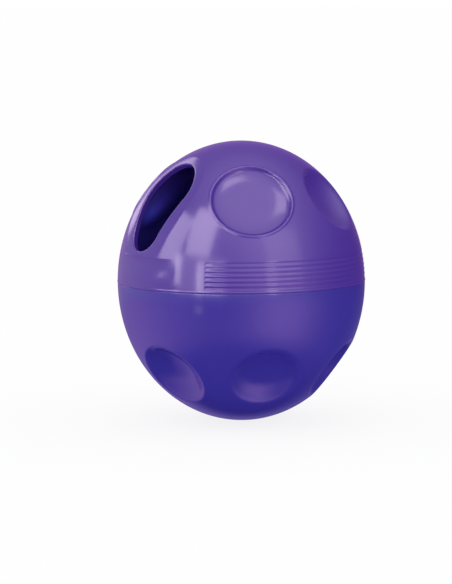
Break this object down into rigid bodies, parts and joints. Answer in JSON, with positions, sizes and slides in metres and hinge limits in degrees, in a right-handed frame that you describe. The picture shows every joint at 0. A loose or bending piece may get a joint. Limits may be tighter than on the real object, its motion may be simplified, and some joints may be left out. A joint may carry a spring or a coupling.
{
  "type": "treat dispensing ball",
  "caption": "Egg-shaped hard plastic dog ball in two shells, with finger dimples, ringed dishes, a ribbed grip band and one treat hole.",
  "frame": {"origin": "centre of the closed ball, on the parting line", "axes": "+Z along the long axis towards the upper shell's crown, -Y towards the treat hole"},
  "size_m": [0.0672, 0.0672, 0.0762],
  "materials": {
    "purple_plastic": "glossy moulded"
  },
  "bodies": {
    "lower_half": {"lower_shell": "purple_plastic"},
    "upper_half": {"upper_shell": "purple_plastic"}
  },
  "joints": [
    {"name": "pull_apart", "type": "slide", "parent": "lower_half", "child": "upper_half", "axis": [0, 0, 1], "range_m": [0, 0.04]}
  ]
}
